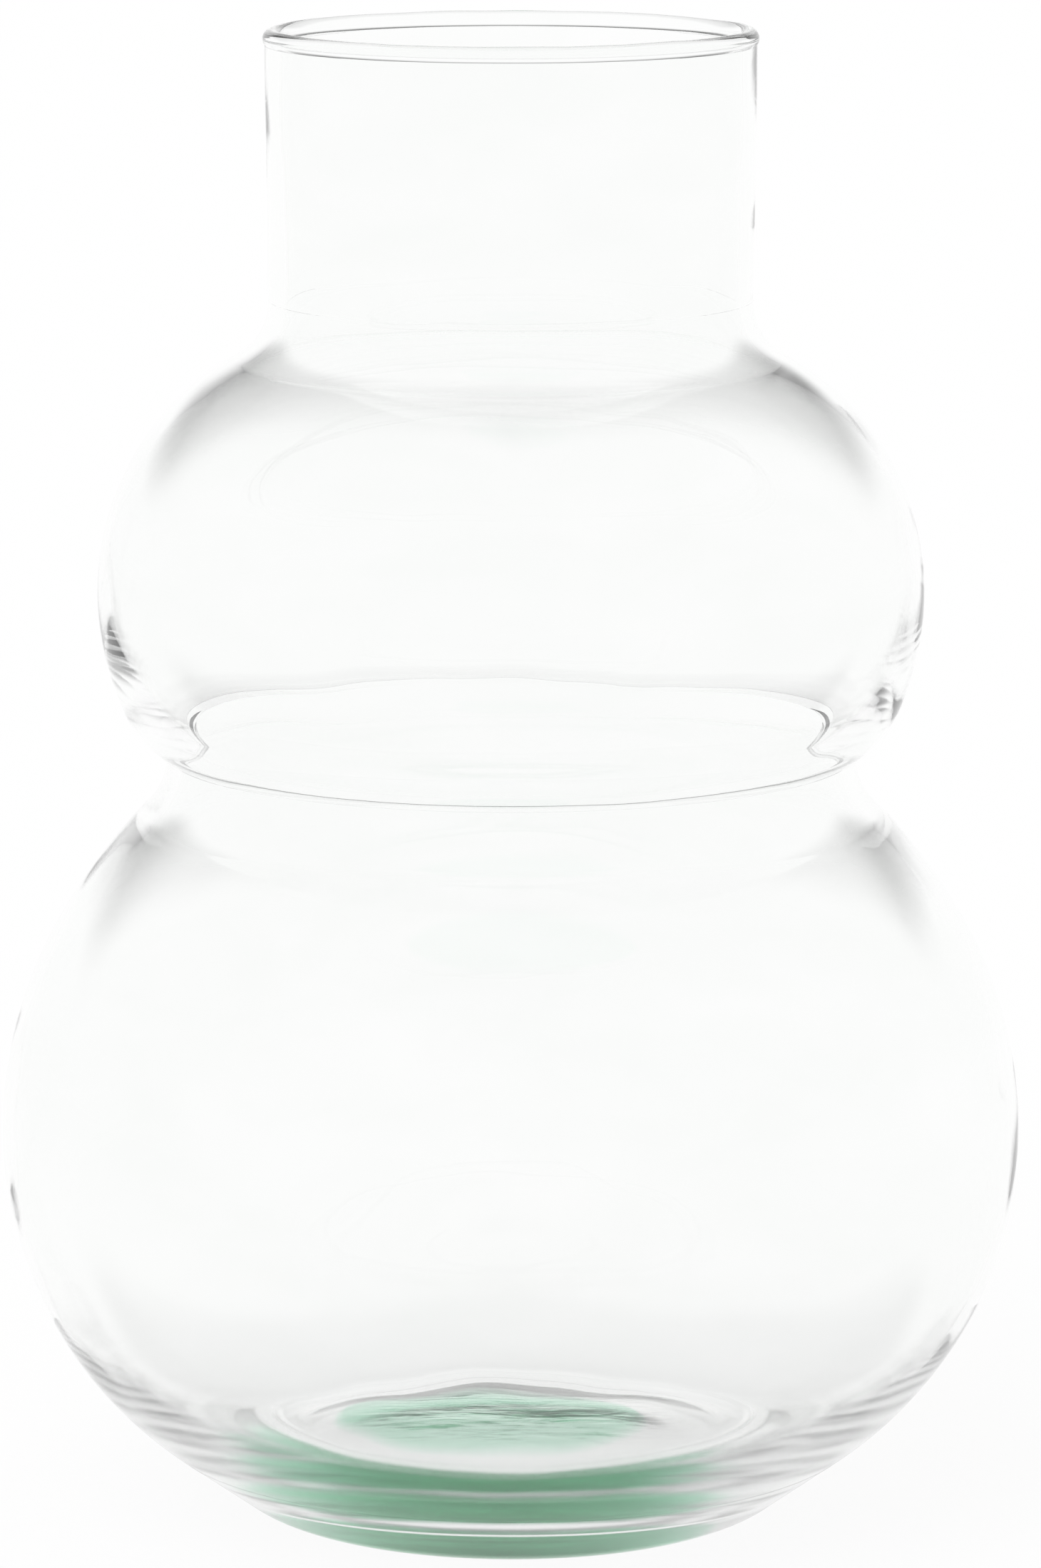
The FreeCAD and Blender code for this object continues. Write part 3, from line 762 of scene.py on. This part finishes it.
@dataclass
class Lip(Zone):
    """The fire-polished lip: a melted bead, flush with the bore and proud of the neck's outside."""

    mouth_r: float = 47.6
    bore_r: float = 44.0
    low_up: float = 287.0
    overhang: float = 0.4

    def outline(self) -> Outline:
        """Over the bead from the outside to the bore, down it and across the seam."""
        low = self.low_up + self.gap
        bead = (self.mouth_r - self.bore_r + self.overhang) / 2
        centre_out = self.bore_r + bead
        rise = math.sqrt(bead ** 2 - (self.mouth_r - centre_out) ** 2)
        centre = Vector((centre_out, self.low_up + rise))
        crest = Spot(centre.x, centre.y + bead, 0, 0.4)
        return (Outline(Spot(self.mouth_r, low))
                .run(Spot(centre.x + bead, centre.y, 1, 0.1), 8, centre)
                .run(crest, 12, centre)
                .run(Spot(self.bore_r, centre.y, -1, 0.1), 12, centre)
                .run(Spot(self.bore_r, low, -1, 0), 6)
                .run(Spot(self.mouth_r, low), 2, seam=Seam.MEETS))


@dataclass
class Studio:
    """Plain pale floor, soft even light and the camera of the photograph.

    The world is white, with a dimmer part above the backdrop, behind the vase only. backdrop_top holds the
    sines of the heights over which that part fades in. backdrop_side does the same for how much further back
    than sideways a direction points.
    """

    camera_back: float = 1.4507
    camera_up: float = 0.3987
    aim: tuple[float, float, float] = (0.0018, 0.0, 0.1429)
    lens: float = 173.36
    sensor: float = 36.0
    floor_size: float = 14.0
    floor_drop: float = 0.1 * MM
    floor_colour: str = "#f3f3f3"
    floor_glow: float = 0.94
    dome_level: float = 0.72
    room_level: float = 0.12
    backdrop_top: tuple[float, float] = (0.14, 0.34)
    backdrop_side: tuple[float, float] = (-0.2, 0.2)
    sun_level: float = 1.5
    sun_spread: float = math.radians(50)
    sun_turn: tuple[float, float, float] = (math.radians(38), 0.0, math.radians(-35))
    light_turns: int = 64

    def place_camera(self) -> None:
        """Makes the camera at the photograph's distance, height and angle."""
        data = bpy.data.cameras.new("camera")
        data.sensor_fit, data.sensor_height, data.sensor_width = "VERTICAL", self.sensor, self.sensor
        data.lens = self.lens
        camera = bpy.data.objects.new("camera", data)
        camera.location = (0, -self.camera_back, self.camera_up)
        camera.rotation_euler = (Vector(self.aim) - camera.location).to_track_quat("-Z", "Y").to_euler()
        bpy.context.scene.collection.objects.link(camera)
        bpy.context.scene.camera = camera

    def sight(self, tree: bpy.types.NodeTree) -> bpy.types.NodeSocket:
        """1 for rays straight from the eye and those that gloss or glass leads to it, else 0."""
        path = add_node(tree, "ShaderNodeLightPath").outputs
        led = self.maths(tree, "MAXIMUM", path["Is Glossy Ray"], path["Is Transmission Ray"])
        return self.maths(tree, "MAXIMUM", path["Is Camera Ray"], led)

    def maths(self, tree: bpy.types.NodeTree, operation: str, *values: object) -> bpy.types.NodeSocket:
        """A sum of plain numbers in a tree."""
        return add_node(tree, "ShaderNodeMath", dict(enumerate(values)), operation=operation).outputs[0]

    def step(self, tree: bpy.types.NodeTree, value: bpy.types.NodeSocket, low: float,
             high: float) -> bpy.types.NodeSocket:
        """Rises softly from 0 at one value to 1 at another."""
        return add_node(tree, "ShaderNodeMapRange", {"Value": value, "From Min": low, "From Max": high},
                        interpolation_type="SMOOTHSTEP").outputs[0]

    def lay_floor(self) -> None:
        """Lays the pale floor, white to the eye, gloss and glass alike, which keeps the vase's shadow."""
        half = self.floor_size / 2
        mesh = bpy.data.meshes.new("floor")
        corners = ((-half, -half), (half, -half), (half, half), (-half, half))
        mesh.from_pydata([(x, y, -self.floor_drop) for x, y in corners], [], [(0, 1, 2, 3)])
        floor = bpy.data.objects.new("floor", mesh)
        bpy.context.scene.collection.objects.link(floor)
        paint = bpy.data.materials.new("pale_matt_floor")
        paint.use_nodes = True
        tree = paint.node_tree
        tree.nodes.clear()
        matt = add_node(tree, "ShaderNodeBsdfDiffuse", {"Color": linear(self.floor_colour)}).outputs[0]
        white = add_node(tree, "ShaderNodeEmission", {"Strength": 1.0}).outputs[0]
        share = self.maths(tree, "MULTIPLY", self.sight(tree), self.floor_glow)
        mixed = add_node(tree, "ShaderNodeMixShader", {0: share, 1: matt, 2: white})
        add_node(tree, "ShaderNodeOutputMaterial", {"Surface": mixed.outputs[0]})
        mesh.materials.append(paint)

    def light(self) -> None:
        """Lights the vase: a white world, dimmer above the backdrop, and one broad soft lamp."""
        world = bpy.data.worlds.new("studio")
        world.use_nodes = True
        tree = world.node_tree
        tree.nodes.clear()
        way = add_node(tree, "ShaderNodeSeparateXYZ",
                       {0: add_node(tree, "ShaderNodeTexCoord").outputs["Generated"]}).outputs
        behind = self.maths(tree, "SUBTRACT", way["Y"], self.maths(tree, "ABSOLUTE", way["X"]))
        beyond = self.maths(tree, "MULTIPLY", self.step(tree, way["Z"], *self.backdrop_top),
                            self.step(tree, behind, *self.backdrop_side))
        shown = add_node(tree, "ShaderNodeMapRange",
                         {"Value": beyond, "To Min": 1.0, "To Max": self.room_level})
        level = add_node(tree, "ShaderNodeMapRange", {
            "Value": self.sight(tree), "To Min": self.dome_level, "To Max": shown.outputs[0]}).outputs[0]
        dome = add_node(tree, "ShaderNodeBackground", {"Color": (1, 1, 1, 1), "Strength": level})
        add_node(tree, "ShaderNodeOutputWorld", {"Surface": dome.outputs[0]})
        bpy.context.scene.world = world
        data = bpy.data.lights.new("soft_lamp", "SUN")
        data.energy, data.angle = self.sun_level, self.sun_spread
        lamp = bpy.data.objects.new("soft_lamp", data)
        lamp.rotation_euler = self.sun_turn
        lamp.visible_glossy = lamp.visible_transmission = False
        bpy.context.scene.collection.objects.link(lamp)

    def open_light_paths(self) -> None:
        """Lets light take the many turns that glass inside glass needs."""
        cycles = bpy.context.scene.cycles
        cycles.max_bounces = cycles.transmission_bounces = cycles.transparent_max_bounces = self.light_turns
        cycles.glossy_bounces = self.light_turns // 2


@dataclass
class Vase:
    """The whole vase: six zones of one glass, clear round a green core."""

    hand: HandWork
    clear: ClearGlass
    green: GreenGlass

    def build(self) -> list[bpy.types.Object]:
        """Builds the zones from the floor up.

        Returns:
            The pieces in order.
        """
        tree = turning_tree()
        clear, seam, green = self.clear.material(), self.clear.seam(), self.green.material()
        made = [GreenCore("green_core", self.hand).build(tree, green, green, "green_glass")]
        for zone in (Base("base", self.hand), LowerBulb("lower_bulb", self.hand),
                     UpperBulb("upper_bulb", self.hand), Neck("neck", self.hand), Lip("lip", self.hand)):
            made.append(zone.build(tree, clear, seam, "clear_glass"))
        return made


def main() -> None:
    """Loads the frame and builds the vase and its studio."""
    logging.basicConfig(level=logging.INFO, format="%(message)s")
    bpy.context.scene.view_settings.view_transform = "Standard"
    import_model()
    studio = Studio()
    studio.place_camera()
    studio.lay_floor()
    studio.light()
    studio.open_light_paths()
    Vase(HandWork(), ClearGlass(), GreenGlass()).build()


if __name__ == "__main__":
    main()
